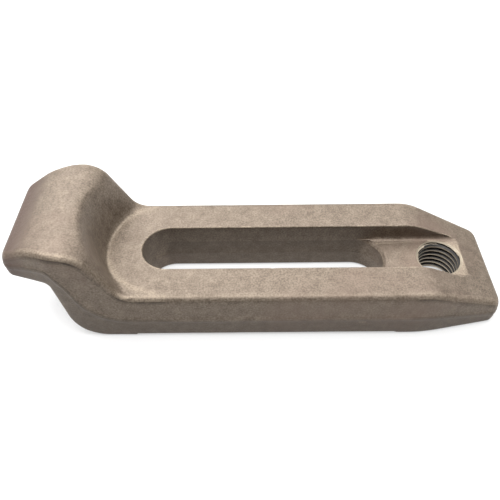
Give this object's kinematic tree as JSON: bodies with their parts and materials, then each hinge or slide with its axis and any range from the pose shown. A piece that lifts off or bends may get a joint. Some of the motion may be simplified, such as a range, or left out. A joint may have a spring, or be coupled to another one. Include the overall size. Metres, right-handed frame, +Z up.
{
  "type": "gooseneck strap clamp",
  "caption": "One-piece forged gooseneck strap clamp with a long stud slot, a raised clamping nose and a tapped heel for a jack screw.",
  "frame": {"origin": "centre of the length and width, at the level of the two base pads", "axes": "+X from the clamping nose to the tapped heel, +Y across the width, +Z up from the base to the nut face"},
  "size_m": [0.12, 0.0346, 0.0297],
  "materials": {
    "forged_steel": "shot-blasted, fine matt grain"
  },
  "bodies": {
    "root": {"clamp_body": "forged_steel"}
  },
  "joints": []
}
